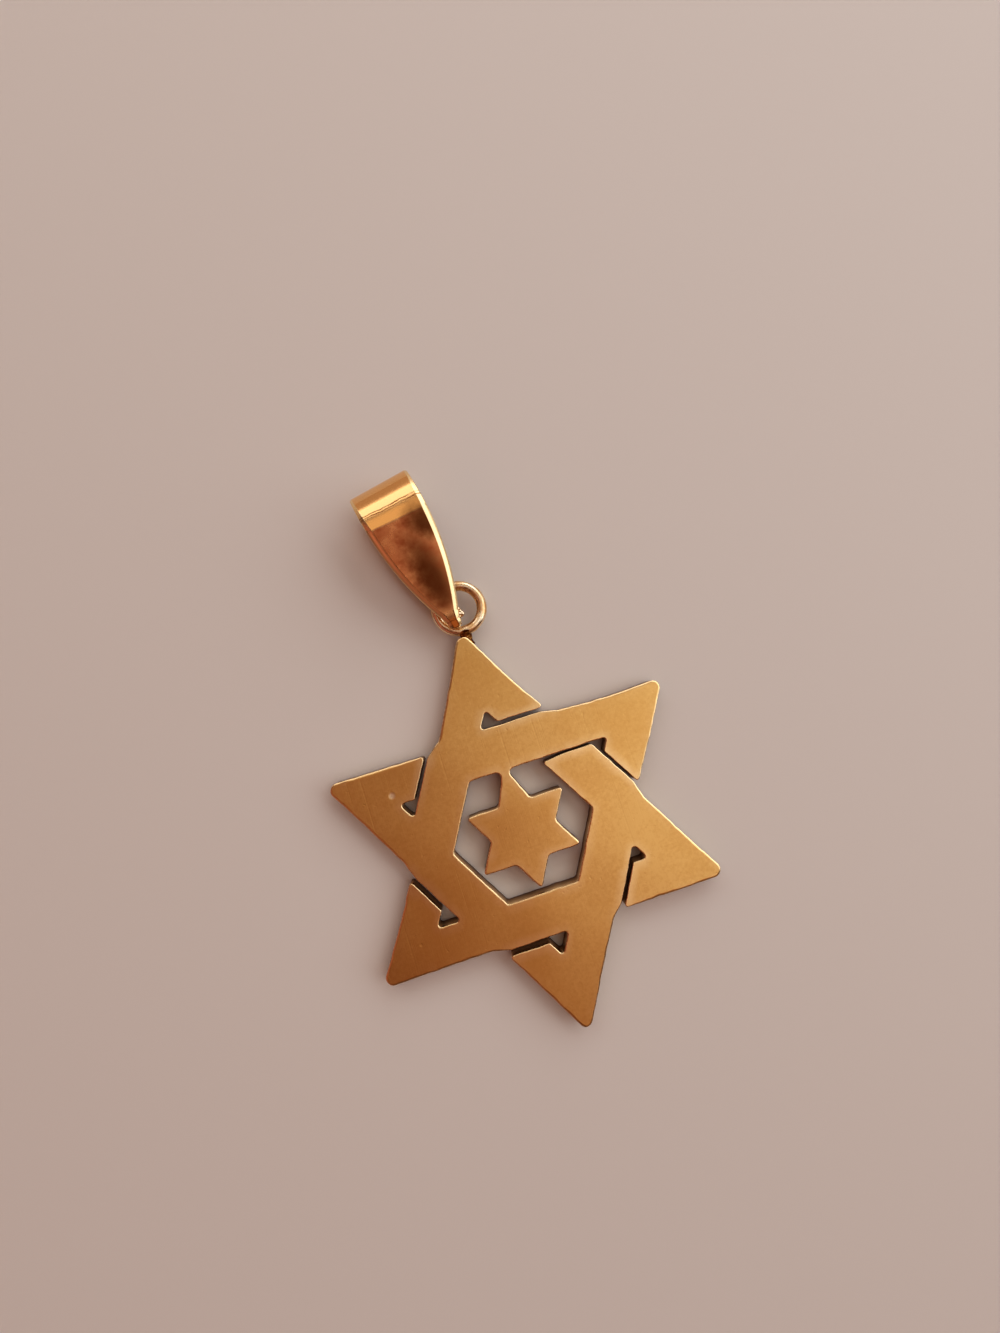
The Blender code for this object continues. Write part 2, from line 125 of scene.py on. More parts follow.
POINTS = (
    # angle, left side: notch, half, tip, right side: tip, half, notch, round, lip, cut
    (90, 0.1, 0.6, 1.7, 0.2, -0.5, -0.1, 1.7, -0.45, 1.05),
    (30, -0.2, -1.0, -0.35, 0.6, 0.3, -0.6, 1.0, -0.2, 0.8),
    (-30, 0.1, -0.2, 0.0, 0.0, 0.15, 0.0, 1.0, -0.1, 1.0),
    (-90, -0.1, -0.5, -0.5, 0.35, -0.1, -0.3, 1.0, -0.65, 1.55),
    (-150, -0.5, -0.5, -0.25, 0.6, -0.3, -0.65, 1.0, 0.05, 1.5),
    (150, 0.5, 0.25, 0.35, -0.5, -0.75, -1.0, 1.0, 0.9, 1.0),
)
# How far the edge is rounded over by filing and wear, in mm: outer sides, saw cuts, holes, windows
SOFT_SIDE, SOFT_CUT, SOFT_HOLE, SOFT_WINDOW = 0.13, 0.05, 0.07, 0.08
print("side of a big triangle:", round(2 * tip_along / MM, 2), "mm")


# %% Sides, opening and free end, as rows of x, y, rounding and softness
def inner(angle):
    """Distance from the centre to the inner edge of the band that faces this angle."""
    return OPENING / 2 + SHIFT @ unit(angle)


def filed_side(angle, shares, towards_tip):
    """Three corners of a filed side. Its distance from the centre is a parabola through the three
    shares of the hand's waver, over the way from the notch to the tip."""
    place = np.array([0.25, 0.5, 0.75])
    first, half, last = shares
    bow = first * (1 - place) * (1 - 2 * place) + last * place * (2 * place - 1)
    bow = bow + 4 * half * place * (1 - place)
    ramp_foot = notch_along * RAMP_END
    along = ramp_foot + (tip_along - ramp_foot) * place
    rows = [
        (*on_line(angle, side_distance + HAND_WAVER * b, a if towards_tip else -a), 0, SOFT_SIDE)
        for a, b in zip(along, bow)
    ]
    return rows if towards_tip else rows[::-1]


def middle_of_star():
    """The opening: down one side of the neck, round the small star, up the neck, round the hexagon."""
    top = inner(90)
    rows = [(SHIFT[0] + NECK_WIDTH / 2, top, NECK_ROUNDING, SOFT_WINDOW)]
    for side in range(90, -270, -60):
        along = small_distance * math.tan(math.radians(30))
        rows.append((*(SHIFT + on_line(side, small_distance, along)), SMALL_NOTCH, SOFT_WINDOW))
        if side > -210:
            rows.append((*(SHIFT + on_line(side - 60, 2 * small_distance, 0)), SMALL_TIP, SOFT_WINDOW))
    rows.append((SHIFT[0] - NECK_WIDTH / 2, top, NECK_ROUNDING, SOFT_WINDOW))
    for side in range(90, 390, 60):
        corner = crossing(side, inner(side), side + 60, inner(side + 60))
        rows.append((*corner, WINDOW_ROUNDING, SOFT_WINDOW))
    return rows


def free_end(lip):
    """The free end of one band, filed to a slight angle beside the saw cut."""
    at_start, at_middle, at_end = (inner(90) - SAW_CUT * gap for gap in FREE_END_GAPS)
    start = crossing(90, at_start, FREE_BAND, inner(FREE_BAND))
    end = crossing(90, at_end, FREE_BAND, lip)
    middle = (start[0] + (end[0] - start[0]) * FREE_END_MIDDLE, at_middle)
    rows = [(*start, CUT_ROUNDING, SOFT_CUT), (*middle, 0, SOFT_CUT)]
    return rows + [(*end, FREE_END_ROUNDING, SOFT_CUT)]


# %% All corners of the outline
def point_of_star(row, next_row):
    """One point of the star, and the saw cut with its hole that follows it clockwise."""
    angle, left, right = row[0], row[1:4], row[4:7]
    left_side, right_side = angle + 60, angle - 60
    lip = side_distance + LIP_STEP + HAND_WAVER * row[8]
    cut = lip + SAW_CUT * row[9]
    hole = (side_distance + LIP_STEP + KEYHOLE_DEPTH) / 2
    hole_right = hole + SHIFT @ unit(right_side)
    hole_left = inner(90) if angle == FREE_BAND else hole + SHIFT @ unit(left_side)
    left_distance = side_distance + HAND_WAVER * left[2]
    right_distance = side_distance + HAND_WAVER * right[0]
    tip = crossing(left_side, left_distance, right_side, right_distance)
    wedge = crossing(right_side, side_distance + HAND_WAVER * right[2], angle, cut)
    rows = filed_side(left_side, left, True)
    rows.append((*tip, TIP_ROUNDING * row[7], SOFT_SIDE))
    rows += filed_side(right_side, right[::-1], False)
    rows.append((*wedge, CUT_ROUNDING, SOFT_CUT))
    rows.append((*crossing(angle, cut, right_side, hole_right), CUT_ROUNDING, SOFT_CUT))
    far_corner = crossing(right_side, hole_right, left_side, hole_left)
    rows.append((*far_corner, KEYHOLE_ROUNDING, SOFT_HOLE))
    if angle == FREE_BAND:
        rows += middle_of_star() + free_end(lip)
    else:
        rows.append((*crossing(left_side, hole_left, angle, lip), KEYHOLE_ROUNDING, SOFT_HOLE))
    rows.append((*on_line(angle, lip, notch_along * RAMP_START), RAMP_ROUNDING, SOFT_CUT))
    foot = side_distance + HAND_WAVER * next_row[1]
    rows.append((*on_line(angle, foot, notch_along * RAMP_END), RAMP_ROUNDING, SOFT_SIDE))
    return rows


corners = []
for index, row in enumerate(POINTS):
    corners += point_of_star(row, POINTS[(index + 1) % len(POINTS)])
corners = np.array(corners)
print("corners in the outline:", len(corners))


# %% Round every corner at once
WIDEST_ARC = 0.48  # of the shorter side beside it, so that two arcs never meet


def rounded_loop(corners, steps=9):
    """Replaces each corner with the arc that touches both its sides. The arc's centre lies on the
    bisector, radius / sin(half the corner's angle) away, and its points are a weighted sum of the
    two touching radii, so all the corners make one corners x steps grid."""
    here, radius = corners[:, :2], corners[:, 2]
    before, after = np.roll(here, 1, axis=0) - here, np.roll(here, -1, axis=0) - here
    long_before, long_after = np.linalg.norm(before, axis=1), np.linalg.norm(after, axis=1)
    before, after = before / long_before[:, None], after / long_after[:, None]
    half = np.arccos(np.clip(np.sum(before * after, axis=1), -1, 1)) / 2
    radius = np.minimum(radius, WIDEST_ARC * np.minimum(long_before, long_after) * np.tan(half))
    bisector = before + after
    bisector /= np.maximum(np.linalg.norm(bisector, axis=1), 1e-9)[:, None]
    centre = here + bisector * (radius / np.sin(half))[:, None]
    start = here + before * (radius / np.tan(half))[:, None] - centre
    end = here + after * (radius / np.tan(half))[:, None] - centre
    turn = np.maximum(math.pi - 2 * half, 1e-6)[:, None]
    share = np.linspace(0, 1, steps)[None, :]
    weight_start = np.sin((1 - share) * turn) / np.sin(turn)
    weight_end = np.sin(share * turn) / np.sin(turn)
    arcs = centre[:, None] + weight_start[..., None] * start[:, None]
    arcs = arcs + weight_end[..., None] * end[:, None]
    softness = np.repeat(corners[:, 3], steps) * MM
    return arcs.reshape(-1, 2), softness


def evenly(points, softness, count):
    """The closed loop walked in equal steps: x, y and softness read off against distance walked."""
    closed = np.vstack([points, points[:1]])
    walked = np.concatenate([[0], np.cumsum(np.linalg.norm(np.diff(closed, axis=0), axis=1))])
    at = np.linspace(0, walked[-1], count, endpoint=False)
    soft = np.interp(at, walked, np.append(softness, softness[0]))
    loop = np.column_stack([np.interp(at, walked, closed[:, axis]) for axis in (0, 1)])
    return loop, soft, walked[-1]


EDGE_POINTS = 2600
arc_points, arc_softness = rounded_loop(corners)
loop, softness, edge_length = evenly(arc_points, arc_softness, EDGE_POINTS)
print("length of the sawn edge:", round(edge_length / MM, 1), "mm")

# %% [markdown]
# ## The edge of the sheet
# A saw and a file leave an edge that is never quite straight. One light stroke of a fine file then
# breaks its corner, and wear rounds the rest over. It could be a Bevel modifier on a flat plate, but
# then every edge would be equally sharp. Here a small profile is carried along the outline, and its
# width changes on the way, so that outer sides are softer than saw cuts.

# %% Carry the profile along the outline
rng = np.random.default_rng(18)
WAVE_COUNT = 24
SOFTNESS_LIMITS = 0.04 * MM, 0.3 * MM


def along_noise(count, shortest, longest, height):
    """Smooth closed noise along the edge: a sum of sine waves that each fit a whole number of times."""
    waves = np.geomspace(edge_length / longest, edge_length / shortest, WAVE_COUNT)
    waves = np.unique(waves.astype(int))
    place = np.arange(count) / count
    phase = rng.uniform(0, 2 * math.pi, len(waves))
    total = np.sin(2 * math.pi * waves[:, None] * place[None] + phase[:, None]).sum(axis=0)
    return height * total / math.sqrt(len(waves) / 2)


def ring_smooth(values, width):
    """Running mean round a closed row, over this many points to either side."""
    kernel = np.hanning(2 * width + 3)[1:-1]
    padded = np.concatenate([values[-width:], values, values[:width]])
    return np.convolve(padded, kernel / kernel.sum(), "valid")


tangent = np.roll(loop, -1, axis=0) - np.roll(loop, 1, axis=0)
tangent = np.column_stack([ring_smooth(tangent[:, axis], 1) for axis in (0, 1)])
tangent /= np.linalg.norm(tangent, axis=1)[:, None]
inward = np.column_stack([tangent[:, 1], -tangent[:, 0]])
tremble = along_noise(EDGE_POINTS, shortest=0.7 * MM, longest=6 * MM, height=0.008 * MM)
loop = loop + inward * tremble[:, None]
unevenness = along_noise(EDGE_POINTS, shortest=0.8 * MM, longest=8 * MM, height=0.12)
softness = np.clip(ring_smooth(softness, 8) * (1 + unevenness), *SOFTNESS_LIMITS)


def sheet_rise(x, y):
    """Height of the hand-finished front above a true plane: three long sine waves crossed, each unit
    of them 0.01 mm high."""
    waves = np.sin(x / (1.9 * MM) + 0.7) * np.sin(y / (2.3 * MM) + 1.9)
    waves = waves + 0.6 * np.sin((x + y) / (1.3 * MM)) + 0.4 * np.sin((x - 2 * y) / (1.7 * MM) + 2)
    return 0.01 * MM * waves


# How steep the broken corner is, in degrees, and how much of its width lies at each steepness
EDGE_TILTS = np.radians([4, 12, 19, 24, 29, 38, 55, 78])
EDGE_SHARES = np.array([0.08, 0.14, 0.25, 0.27, 0.2, 0.12, 0.06, 0.02])
BACK_EDGE = 0.6  # width of the broken corner at the back, as a share of the front's
FLAT_MARGIN = 0.03 * MM


def edge_profile(softness):
    """Insets and heights, one row for each step down the edge: a flat margin, the broken corner, the
    wall, and the same corner, but narrower, at the back. Down the corner the inset shrinks by each
    step's length times the cosine of its tilt, and the height falls by the length times the sine."""
    lengths = EDGE_SHARES / (EDGE_SHARES @ np.cos(EDGE_TILTS))
    inset = 1 - np.concatenate([[0], np.cumsum(lengths * np.cos(EDGE_TILTS))])
    fall = np.concatenate([[0], np.cumsum(lengths * np.sin(EDGE_TILTS))])
    curl, drop = inset[:, None] * softness, fall[:, None] * softness
    margin = np.full((1, len(softness)), FLAT_MARGIN)
    insets = [margin + softness, curl, BACK_EDGE * curl[::-1], margin + BACK_EDGE * softness]
    heights = [0 * margin + SHEET_THICKNESS, SHEET_THICKNESS - drop, BACK_EDGE * drop[::-1], 0 * margin]
    return np.vstack(insets), np.vstack(heights)


insets, heights = edge_profile(softness)
rows = loop[None] + inward[None] * insets[..., None]
rise = sheet_rise(rows[..., 0], rows[..., 1]) * heights / SHEET_THICKNESS
wall = np.concatenate([rows, (heights + rise)[..., None]], axis=2)
narrowest, widest = softness.min() / MM, softness.max() / MM
print("edge profile rows:", len(wall), "softness in mm:", narrowest.round(3), widest.round(3))

# %% [markdown]
# ## Front and back of the sheet
# The outline is far from round, so a grid of two parameters would tear at the notches. A constrained
# triangulation fills it instead: the edge's points, and a grid of points inside, joined into even
# triangles. The front then gets its very slight hand-finished rise, the back stays flat to rest on.

# %% Fill the outline with even triangles
def inside(points, border):
    """Even-odd rule for all points at once: how often a ray to the right crosses the border."""
    x, y = points[:, 0, None], points[:, 1, None]
    x1, y1 = border[None, :, 0], border[None, :, 1]
    x2, y2 = np.roll(x1, -1, axis=1), np.roll(y1, -1, axis=1)
    spans = (y1 > y) != (y2 > y)
    rise_of = np.where(y2 == y1, 1e-12, y2 - y1)
    return (spans & (x < x1 + (y - y1) / rise_of * (x2 - x1))).sum(axis=1) % 2 == 1


GRID = 0.33 * MM
GRID_REACH = 0.52 * STAR_HEIGHT
CLEAR_OF_EDGE = 0.42 * MM
border = wall[0, :, :2]
steps = np.arange(-GRID_REACH, GRID_REACH, GRID)
grid_x, grid_y = np.meshgrid(steps, steps)
grid_x = grid_x + (np.arange(len(steps)) % 2)[:, None] * GRID / 2
grid = np.column_stack([grid_x.ravel(), grid_y.ravel()])
grid = grid[inside(grid, border)]
gap = np.sqrt(((grid[:, None] - loop[None, ::3]) ** 2).sum(axis=2)).min(axis=1)
grid, gap = grid[gap > CLEAR_OF_EDGE], gap[gap > CLEAR_OF_EDGE]
flat = np.vstack([border, grid]) / MM
result = delaunay_2d_cdt([Vector(p) for p in flat], [], [list(range(EDGE_POINTS))], 1, 1e-6)
filled = np.array([[result[3][corner][0] for corner in face] for face in result[2]])
first, second, third = (flat[filled[:, k]] for k in range(3))
turned = np.cross(second - first, third - first) < 0
filled[turned] = filled[turned][:, ::-1]
print("triangles in the front:", len(filled), "points inside:", len(grid))


# %% Join front, edge and back into one closed mesh
def ring_quads(rows, count, close_rows=False):
    """Four-sided faces between neighbouring rows of a rows x count grid that is closed round."""
    row = np.arange(rows if close_rows else rows - 1)[:, None]
    point = np.arange(count)[None]
    after, above = (point + 1) % count, (row + 1) % rows
    quads = [row * count + point, above * count + point, above * count + after, row * count + after]
    return np.stack(quads, axis=-1).reshape(-1, 4)


def make_piece(name, vertices, *face_tables, smooth_below=40):
    """Mesh object at the origin from a table of points and tables of faces, each with one row of
    point numbers for a face. It is smooth apart from edges that turn more than the angle."""
    sizes = np.concatenate([np.full(len(table), table.shape[1]) for table in face_tables])
    mesh = bpy.data.meshes.new(name)
    mesh.vertices.add(len(vertices))
    mesh.vertices.foreach_set("co", np.asarray(vertices, np.float32).ravel())
    mesh.loops.add(int(sizes.sum()))
    mesh.loops.foreach_set("vertex_index", np.concatenate([table.ravel() for table in face_tables]))
    mesh.polygons.add(len(sizes))
    mesh.polygons.foreach_set("loop_start", np.cumsum(sizes) - sizes)
    mesh.update(calc_edges=True)
    mesh.validate()
    mesh.shade_smooth()
    mesh.set_sharp_from_angle(angle=math.radians(smooth_below))
    piece = bpy.data.objects.new(name, mesh)
    bpy.context.scene.collection.objects.link(piece)
    print(name, len(mesh.vertices), "points", len(mesh.polygons), "faces")
    return piece


def closed_faces(rows, sides):
    """Faces of a closed skin: the grid's quads, and a fan of triangles to the pole at each end."""
    around = np.arange(sides)
    after, last = (around + 1) % sides, (rows - 1) * sides
    first_fan = np.column_stack([np.full(sides, rows * sides), around, after])
    last_fan = np.column_stack([np.full(sides, rows * sides + 1), after + last, around + last])
    return ring_quads(rows, sides), first_fan, last_fan


def point_values(piece, name, values):
    """Stores one number for each point of a mesh, for a material to read."""
    attribute = piece.data.attributes.new(name, "FLOAT", "POINT")
    attribute.data.foreach_set("value", np.asarray(values, np.float32))


wall_points = wall.reshape(-1, 3)
front_points = np.column_stack([grid, SHEET_THICKNESS + sheet_rise(grid[:, 0], grid[:, 1])])
back_points = np.column_stack([grid, np.zeros(len(grid))])
vertices = np.vstack([wall_points, front_points, back_points])
last_row = (len(wall) - 1) * EDGE_POINTS
on_edge, inner_index = filled < EDGE_POINTS, filled - EDGE_POINTS + len(wall_points)
front_index = np.where(on_edge, filled, inner_index)
back_index = np.where(on_edge, filled + last_row, inner_index + len(grid))
wall_quads = ring_quads(len(wall), EDGE_POINTS)[:, ::-1]
star = make_piece("sawn_star", vertices, wall_quads, front_index, back_index[:, ::-1])

# %% Numbers that the star's finish reads
# How near a point is to the front edge, 1 on it and fading inwards, where the sawn wall is, which
# starts this share of the softness below the front, and how far along the edge a point lies
RIM_WIDTH, RIM_FADE = 0.09 * MM, 0.12 * MM
WALL_START = 0.55
near_edge = np.exp(-((insets / RIM_WIDTH) ** 2)) * (heights > SHEET_THICKNESS / 2)
on_wall = np.clip((SHEET_THICKNESS - heights) / (WALL_START * softness) - 1, 0, 1)
# The front edges' lower roughness is wear; their pale cream colour is a painted highlight
point_values(star, "edge_wear_and_highlight", np.concatenate([near_edge.ravel(), np.exp(-gap / RIM_FADE), 0 * gap]))
# The sawn walls' dark brown is partly grime and partly painted shade inside the cuts and holes
point_values(star, "sawn_wall", np.concatenate([on_wall.ravel(), 0 * gap, 0 * gap]))
walked = np.tile(np.arange(EDGE_POINTS) / EDGE_POINTS * edge_length, len(wall))
point_values(star, "along_edge", np.concatenate([walked, 0 * gap, 0 * gap]))
print("points on the sawn wall:", int((on_wall > 0).sum()))

# %% [markdown]
# ## Ring and solder
# The ring is a length of round wire bent round a mandrel and closed with solder, so it is a torus:
# a small circle carried round a big one. A torus primitive would be perfectly even; a wire bent with
# pliers isn't, so here the small circle's radius swells and thins a little on its way round. The
# solder drew itself into a narrow waist between ring and star, so it is a turned shape with a waist.

# %% Wire ring
RING_DIAMETER = 3.63 * MM
RING_WIRE = 0.66 * MM
RING_X = 0.24 * MM
SOLDER_GAP = 0.34 * MM
RIBBON_THICKNESS = 0.35 * MM
WIRE_CLEARANCE = 0.09 * MM
ring_middle = np.array([RING_X, STAR_HEIGHT / 2 + SOLDER_GAP + RING_DIAMETER / 2, 0])
ring_middle[2] = RIBBON_THICKNESS + WIRE_CLEARANCE + RING_WIRE / 2


def bent_wire(big, small, rounds, sides):
    """Torus: centre + (big + r cos v) in the direction u, and r sin v upwards, where the wire's
    radius r is the small one times 1 plus slow waves in u."""
    u = np.linspace(0, 2 * math.pi, rounds, endpoint=False)[:, None]
    v = np.linspace(0, 2 * math.pi, sides, endpoint=False)[None]
    swell = 0.012 * np.sin(3 * u + 1) + 0.010 * np.sin(7 * u + 2 * v) + 0.008 * np.sin(13 * u - v)
    r = small * (1 + swell)
    out = big * (1 + 0.004 * np.sin(2 * u + 0.5)) + r * np.cos(v)
    return np.stack([out * np.cos(u), out * np.sin(u), r * np.sin(v) + 0 * u], axis=-1).reshape(-1, 3)


RING_GRID = (160, 28)
ring_points = bent_wire((RING_DIAMETER - RING_WIRE) / 2, RING_WIRE / 2, *RING_GRID) + ring_middle
ring = make_piece("wire_ring", ring_points, ring_quads(*RING_GRID, close_rows=True))


# %% Solder between ring and star
def turned(axis_start, axis_end, radii, sides=32, lumps=0.05):
    """Surface of revolution: rings of the given radii along a straight axis, a little lumpy, with
    a point at each end that closes it."""
    start, end = np.array(axis_start), np.array(axis_end)
    along = (end - start) / np.linalg.norm(end - start)
    side = np.cross(along, [0, 0, 1.0])
    side /= np.linalg.norm(side)
    up = np.cross(side, along)
    t = np.linspace(0, 1, len(radii))[:, None]
    v = np.linspace(0, 2 * math.pi, sides, endpoint=False)[None]
    r = np.array(radii)[:, None] * (1 + lumps * np.sin(2 * v + 5 * t) + lumps * np.sin(3 * v - 9 * t + 1))
    outward = np.cos(v)[..., None] * side + np.sin(v)[..., None] * up
    rings = start + (end - start) * t[..., None] + r[..., None] * outward
    points = np.vstack([rings.reshape(-1, 3), start, end])
    return points, *closed_faces(len(radii), sides)


WAIST_RADIUS, FLARE = 0.36 * MM, 0.12 * MM
END_SHARE = 0.6  # the two end rings are drawn in, so the ends are blunt inside star and wire
IN_STAR, IN_WIRE = 0.32 * MM, 0.62 * RING_WIRE
neck = np.linspace(0, 1, 15)
neck_radii = WAIST_RADIUS + FLARE * (2 * neck - 1) ** 2
neck_radii[[0, -1]] *= END_SHARE
neck_from = (0.08 * MM, STAR_HEIGHT / 2 - IN_STAR, SHEET_THICKNESS * 0.55)
neck_to = (0.16 * MM, ring_middle[1] - RING_DIAMETER / 2 + IN_WIRE, ring_middle[2] - 0.02 * MM)
solder = make_piece("ring_solder", *turned(neck_from, neck_to, neck_radii, lumps=0.09))

# %% [markdown]
# ## Ribbon bail
# The bail is a strip cut to a long taper at both ends, its outer edges bevelled with a file, bent
# round a rod until the ends meet and soldered there. That is a path with a changing section, so the
# path is drawn once from the side, as matching outer and inner lines, and the section is carried
# along it. Curves with a bevel object could do it, but not with a wall that fills up at the end.

# %% Sizes of the bail
BAIL_LENGTH = 9.82 * MM
LOOP_DIAMETER = 3.8 * MM
CREASE_DISTANCE = 6.63 * MM
CREASE_ROUNDING = 0.5 * MM
CREASE_SLANT, LOOP_SLANT = 3, -1  # degrees askew at the crease and at the loop's far side
RIBBON_WIDTH = 4.05 * MM
END_WIDTH = 0.9 * MM
TAPER_POWER = 2.3
BACK_SHARE = 0.85  # width of the back leaf, as a share of the front leaf's
BEVEL = 0.32 * MM
LOOP_BEVEL_SHARE = 0.4
WIDEST_BEVEL = 0.5  # as a share of half the ribbon's width
BEVEL_ANGLE = 27
BEVEL_CORNER = 0.05 * MM
INNER_RIM = 0.04 * MM
NOSE_RADIUS = 4.0 * MM
NOSE_ANGLE = 35
OVERHANG = 0.5 * MM
BLUNT_END = 0.1 * MM
SOLDER_LENGTH = 0.42 * MM
SOLDER_WIDTH = 0.36 * MM
EYE_ROUNDING = 0.15 * MM
END_ROUNDING = 0.17 * MM
CORNER_ROUNDING = 0.3 * MM
BAIL_TURN = 11.5
SEAT_ANGLE = -125
SEAT_CLEARANCE = 0.2 * MM
seat_reach = RING_DIAMETER / 2 - RING_WIRE - SEAT_CLEARANCE
bail_seat = ring_middle[:2] + seat_reach * unit(SEAT_ANGLE)
print("bail's end lies at, in mm:", (bail_seat / MM).round(2))


# %% The ribbon from the side
def arc(centre, reach, start, end, count):
    """Points on a circle or an ellipse from one angle to another: the centre plus the reach along
    each axis times the angle's cosine and sine."""
    angle = np.radians(np.linspace(start, end, count))[:, None]
    return np.array(centre) + reach * np.hstack([np.cos(angle), np.sin(angle)])


def straight(start, end, count):
    """Points on a straight line."""
    return np.array(start) + (np.array(end) - np.array(start)) * np.linspace(0, 1, count)[:, None]


# The side view's parts, in order round the ribbon
PARTS = ("back leaf", "quarter circle", "crown", "crease", "front leaf", "nose", "overhang")
PARTS += ("blunt end", "solder", "solder's corner")


def bail_side_view():
    """The folded ribbon from the side, as an outer and an inner line in distance from the solder and
    height, and the row at which each of its parts ends. The crown is a quarter of an ellipse, and
    its inner line lies one thickness along the ellipse's normal, cos over one reach and sin over
    the other. The end that reaches over the ring's wire, and the solder under it, share the rounded
    end of the eye as their inner line."""
    thick = RIBBON_THICKNESS
    radius = LOOP_DIAMETER / 2
    loop_middle = np.array([BAIL_LENGTH - radius, radius])
    crown_reach = np.array([BAIL_LENGTH - CREASE_DISTANCE, radius])
    crown = arc((CREASE_DISTANCE, radius), crown_reach, 0, 90, 70)
    steepness = arc((0, 0), 1 / crown_reach, 0, 90, 70)
    steepness /= np.linalg.norm(steepness, axis=1)[:, None]

    under = thick + RING_WIRE + 2 * WIRE_CLEARANCE
    nose = np.array([-OVERHANG, under + thick]) - NOSE_RADIUS * unit(90 + NOSE_ANGLE)
    crease = np.array([CREASE_DISTANCE, LOOP_DIAMETER])
    run, up = crease - nose
    lean = math.degrees(math.atan2(up, run) + math.acos(NOSE_RADIUS / math.hypot(run, up))) - 90
    normal = unit(90 + lean)
    bend = crease + CREASE_ROUNDING * np.array([math.tan(math.radians(lean / 2)), -1])
    leaf = [bend + normal * CREASE_ROUNDING, nose + normal * NOSE_RADIUS]

    inside_nose = NOSE_RADIUS - thick
    over_solder = math.degrees(math.acos(-nose[0] / NOSE_RADIUS))
    over_eye = math.degrees(math.acos((SOLDER_LENGTH - nose[0]) / inside_nose))
    eye_top = nose[1] + inside_nose * math.sin(math.radians(over_eye))
    eye_end = (SOLDER_LENGTH, (eye_top + thick) / 2), np.array([EYE_ROUNDING, (eye_top - thick) / 2])
    blunt_angle = math.degrees(math.acos((BLUNT_END - OVERHANG - nose[0]) / NOSE_RADIUS))
    blunt_top = nose[1] + NOSE_RADIUS * math.sin(math.radians(blunt_angle))
    blunt_middle = (BLUNT_END - OVERHANG, (blunt_top + under) / 2)
    blunt_reach = np.array([BLUNT_END, (blunt_top - under) / 2])
    outer_parts = [
        straight((END_ROUNDING, 0), (loop_middle[0], 0), 40),
        arc(loop_middle, radius, -90, 0, 50),
        crown,
        arc(bend, CREASE_ROUNDING, 90, 90 + lean, 9),
        straight(*leaf, 50),
        arc(nose, NOSE_RADIUS, 90 + lean, over_solder, 20),
        arc(nose, NOSE_RADIUS, over_solder, blunt_angle, 9),
        arc(blunt_middle, blunt_reach, 90, 270, 13),
        straight((0, under), (0, END_ROUNDING), 9),
        arc((END_ROUNDING, END_ROUNDING), END_ROUNDING, 180, 270, 7),
    ]
    inner_parts = [
        straight((SOLDER_LENGTH + END_ROUNDING, thick), (loop_middle[0], thick), 40),
        arc(loop_middle, radius - thick, -90, 0, 50),
        crown - thick * steepness,
        arc(bend, CREASE_ROUNDING - thick, 90, 90 + lean, 9),
        straight(leaf[0] - normal * thick, leaf[1] - normal * thick, 50),
        arc(nose, inside_nose, 90 + lean, over_eye, 20),
        arc(*eye_end, 90, 105, 9),
        arc(*eye_end, 105, 125, 13),
        arc(*eye_end, 130, 220, 9),
        arc(*eye_end, 220, 270, 7),
    ]
    # A part leaves its last point to the next one, but the blunt end keeps its own, at a corner
    counts = [len(part) - (name != "blunt end") for name, part in zip(PARTS, outer_parts)]
    outer = np.vstack([part[:count] for part, count in zip(outer_parts, counts)])
    inner_line = np.vstack([part[:count] for part, count in zip(inner_parts, counts)])
    return outer, inner_line, dict(zip(PARTS, np.cumsum(counts)))


# %% The ribbon's width and the run of its section
def half_width(distance, end):
    """Half the front leaf's width: from the end's width to the full one, as 1 - (1 - share) to a
    power, less a quarter circle that rounds the end's corners."""
    share = np.clip(distance / (BAIL_LENGTH - LOOP_DIAMETER / 2), 0, 1)
    width = END_WIDTH + (RIBBON_WIDTH - END_WIDTH) * (1 - (1 - share) ** TAPER_POWER)
    left = np.clip(CORNER_ROUNDING - (distance - end), 0, CORNER_ROUNDING)
    return width / 2 - CORNER_ROUNDING + np.sqrt(CORNER_ROUNDING**2 - left**2)


side_outer, side_inner, row_ends = bail_side_view()
rows_of_bail = np.arange(len(side_outer))
back_end, quarter_end = row_ends["back leaf"], row_ends["quarter circle"]
tip_row, solder_row = row_ends["overhang"], row_ends["blunt end"]
back = np.clip((quarter_end - rows_of_bail) / (quarter_end - back_end), 0, 1)
end_of_row = np.where(rows_of_bail < quarter_end, 0, -OVERHANG)
half = half_width(side_outer[:, 0], end_of_row) * (1 - (1 - BACK_SHARE) * back)
half[solder_row:] = SOLDER_WIDTH / 2
round_loop = np.clip((side_outer[:, 0] - CREASE_DISTANCE) / (BAIL_LENGTH - CREASE_DISTANCE), 0, 1)
bevel = np.minimum(BEVEL * (1 - (1 - LOOP_BEVEL_SHARE) * round_loop), half * WIDEST_BEVEL)
walk = np.roll(side_outer, -1, axis=0) - np.roll(side_outer, 1, axis=0)
walk /= np.linalg.norm(walk, axis=1)[:, None]
into = np.column_stack([-walk[:, 1], walk[:, 0]])
print("widest and narrowest leaf, in mm:", (2 * half.max() / MM).round(2), (2 * half.min() / MM).round(2))


